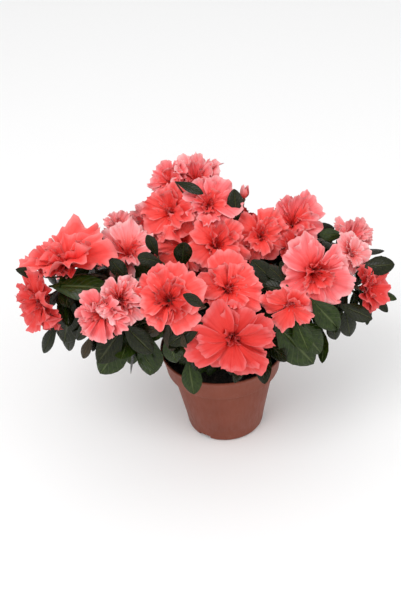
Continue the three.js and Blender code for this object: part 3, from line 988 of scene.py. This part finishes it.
# rings of each form from the outside: petals, length, half-width and flare in degrees, ruffle
FORMS = {
    "full": [(5, 1.00, 46, 95, 1.0), (5, 0.84, 42, 76, 1.2), (5, 0.66, 38, 57, 1.5),
             (4, 0.48, 40, 39, 1.9), (4, 0.34, 46, 20, 2.2)],
    "collar": [(5, 1.00, 52, 94, 1.15), (5, 0.86, 52, 76, 1.3), (4, 0.70, 56, 56, 1.5),
               (4, 0.50, 52, 38, 2.1), (4, 0.35, 50, 18, 2.4)],
    "cupped": [(5, 1.00, 50, 96, 0.9), (4, 0.88, 46, 84, 1.1), (5, 0.66, 52, 46, 1.2),
               (5, 0.54, 46, 36, 1.6), (4, 0.38, 46, 20, 2.2)],
    "open": [(6, 1.00, 45, 96, 0.6), (5, 0.82, 46, 82, 0.8), (4, 0.40, 48, 52, 1.8),
             (4, 0.30, 50, 24, 2.2)],
    "bowl": [(5, 1.00, 46, 84, 1.0), (5, 0.88, 44, 66, 1.1), (5, 0.74, 42, 48, 1.3),
             (4, 0.55, 42, 32, 1.7)],
    "tight": [(5, 1.00, 42, 90, 1.3), (6, 0.86, 36, 66, 1.8), (6, 0.72, 34, 48, 2.2),
              (6, 0.56, 34, 30, 2.6), (4, 0.42, 40, 14, 2.8)],
    "bud": [(4, 1.00, 62, -30, 0.2), (3, 0.92, 62, -36, 0.2)],
}


def smoothstep(share):
    share = np.clip(share, 0, 1)
    return share * share * (3 - 2 * share)


def waves(rng, across, count):
    """A wave with about the given number of crests across a petal."""
    bent = across + 0.12 * np.sin(3 * across + rng.uniform(0, math.tau))
    return np.sin(math.pi * count * rng.uniform(0.85, 1.15) * bent + rng.uniform(0, math.tau))


def petal(rng, length, half_width, flare, ruffle, base, rows, columns):
    """One petal round the +Z axis: a sector of a flaring funnel, rounded and ragged at its end,
    pleated lengthwise, cupped, crumpled, and ruffled finely along its edge."""
    across = np.linspace(-1, 1, columns + 1)[:, None]
    along = 1 - (1 - np.linspace(0, 1, rows + 1)[None, :]) ** 1.25
    edge = 1 - 0.28 * np.abs(across) ** 3 - 0.24 * np.abs(across) ** 9
    edge = edge + 0.05 * waves(rng, across, 1.1) + 0.034 * waves(rng, across, 3.6)
    edge = edge + rng.normal(0, 0.014, across.shape)
    share = along * edge
    stage = np.linspace(0, 1.2, 61)
    lean = math.radians(17 if flare > 0 else 44)
    tilt = lean + (math.radians(flare) - lean) * smoothstep(stage / 0.72)
    tilt = tilt + math.radians(rng.normal(0, 14)) * np.clip(stage - 0.45, 0, 1) ** 1.5 * 3
    radius = base + length * np.cumsum(np.sin(tilt)) * stage[1]
    height = length * np.cumsum(np.cos(tilt)) * stage[1]
    r, z, slope = (np.interp(share, stage, values) for values in (radius, height, tilt))
    lift = 0.040 * waves(rng, across, 1.5) * share**1.3
    lift = lift + 0.010 * waves(rng, across + 0.2 * share, 3.6) * share
    lift = lift + 0.056 * waves(rng, across, 2.4) * share**4 + 0.050 * waves(rng, across, 6.5) * share**6
    lift = lift + 0.022 * waves(rng, across + 1.3 * along, 2.2) * np.sin(math.pi * along)
    lift = lift + 0.008 * waves(rng, across - 0.8 * along, 4.5) * share
    lift = ruffle * lift + (0.06 + rng.normal(0, 0.05)) * across * share
    lift = lift - 0.05 * (1 - across**2) * share * (1 - 0.6 * share)
    lift = lift * length
    r = r - np.cos(slope) * lift
    z = z + np.sin(slope) * lift
    turn = across * math.radians(half_width) * (0.80 + 0.20 * share)
    turn = turn + 0.045 * ruffle * share**3 * waves(rng, across, 2.7)
    points = np.stack([r * np.cos(turn), r * np.sin(turn), z], axis=-1).reshape(-1, 3)
    places = np.stack(np.broadcast_arrays(0.5 + 0.485 * across, 0.01 + 0.98 * along), axis=-1)
    row = rows + 1
    corner = (np.arange(columns)[:, None] * row + np.arange(rows)[None, :]).reshape(-1, 1)
    faces = corner + np.array([[0, row, row + 1, 1]])
    return points, faces, places.reshape(-1, 2)


def flower(rng, place, way, width, form, opening):
    """A whole flower that faces way, with the middle of its rim at place; returns its petals, each
    with the number of its ring."""
    length = width / 2 / 0.80
    parts = []
    for ring, (count, share, half_width, flare, ruffle) in enumerate(FORMS[form]):
        spin = rng.uniform(-0.2, 0.2) + math.pi / count * (ring % 2)
        detail = (12, 34) if ring < 2 else (10, 20)
        for i in range(count):
            size = share * length * rng.uniform(0.84, 1.12)
            base = min(2.4 - 0.35 * ring, 50 * length) * MM
            points, faces, places = petal(rng, size, half_width * rng.uniform(0.9, 1.1),
                                          flare * opening + rng.normal(0, 9), ruffle, base, *detail)
            turn = spin + math.tau * i / count + rng.normal(0, 0.13)
            nod = Matrix.Rotation(rng.normal(0, 0.09), 3, "X")
            nod = nod @ Matrix.Rotation(rng.normal(0, 0.09), 3, "Y")
            twist = np.array(Matrix.Rotation(turn, 3, "Z") @ nod)
            parts.append((ring, points @ twist.T, faces, places))
    fit = 1
    if form != "bud":
        outer = [points for ring, points, _, _ in parts if ring == 0]
        fit = width / 2 / np.mean([np.hypot(points[:, 0], points[:, 1]).max() for points in outer])
    throat, place = (0, 0, FLOWER_DEPTH * width), np.array(place)
    spin = Matrix.Rotation(rng.uniform(0, math.tau), 3, "Z")
    turn = np.array(way.to_track_quat("Z", "Y").to_matrix() @ spin)
    return [(ring, (points * fit - throat) @ turn.T + place, faces, places)
            for ring, points, faces, places in parts]


def petal_piece(name, parts):
    points = np.concatenate([part[0] for part in parts])
    places = np.concatenate([part[2] for part in parts])
    base = np.cumsum([0] + [len(part[0]) for part in parts[:-1]])
    faces = np.concatenate([part[1] + start for part, start in zip(parts, base)])
    piece = add_piece(name, points, faces)
    lay_pattern(piece, places)
    return piece


def petal_material(name, tones):
    """Thin soft petal: throat to edge gradient, whose pale edge is partly the petal's own paler margin
    and partly a painted highlight where the ruffled edge catches the light, darker lengthwise veins,
    paler streaks between them, and a velvety sheen."""
    material, add, wire = new_material(
        name, {"Roughness": 0.55, "Specular IOR Level": 0.25, "Sheen Weight": 0.15,
               "Sheen Roughness": 0.4, "Sheen Tint": (1.0, 0.75, 0.72, 1)}
    )
    place = add("ShaderNodeUVMap", uv_map="OFBake").outputs["UV"]
    parts = add("ShaderNodeSeparateXYZ", {"Vector": place})
    streaks = add("ShaderNodeMapping", {"Vector": place, "Scale": (15, 1.3, 1)}).outputs["Vector"]
    veins = noise(add, streaks, 1.0, 4.0, 0.55)
    wander = maths(add, "MULTIPLY_ADD", noise(add, place, 3.2, 3.0), 0.26, -0.13)
    out = maths(add, "ADD", parts.outputs["Y"], wander)
    base = ramp(add, out, list(zip(TONE_STAGES, tones)))
    shades = [(0.30, (0.89, 0.72, 0.72)), (0.48, (1, 1, 1)), (0.72, (1.0, 1.36, 1.40))]
    wire("Base Color", mixed(add, 1.0, base, ramp(add, veins, shades), blend_type="MULTIPLY"))
    emboss(add, wire, veins, 0.5, 0.0008)
    return material


rng = np.random.default_rng(PETAL_SEED)
petals_by_tone = {tone: [] for tone in TONES}
for (middle, way, width), row in zip(flower_spots, HEADS):
    outer, inner, form, opening = row[4:8]
    for ring, *part in flower(rng, middle, way, width, form, opening):
        petals_by_tone[outer if ring < 2 else inner].append(part)
for tone, parts in petals_by_tone.items():
    piece = petal_piece("petals_" + tone, parts)
    piece.data.materials.append(petal_material("petals_" + tone, TONES[tone]))
    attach(piece, "root")
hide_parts(*nodes_named("head"))
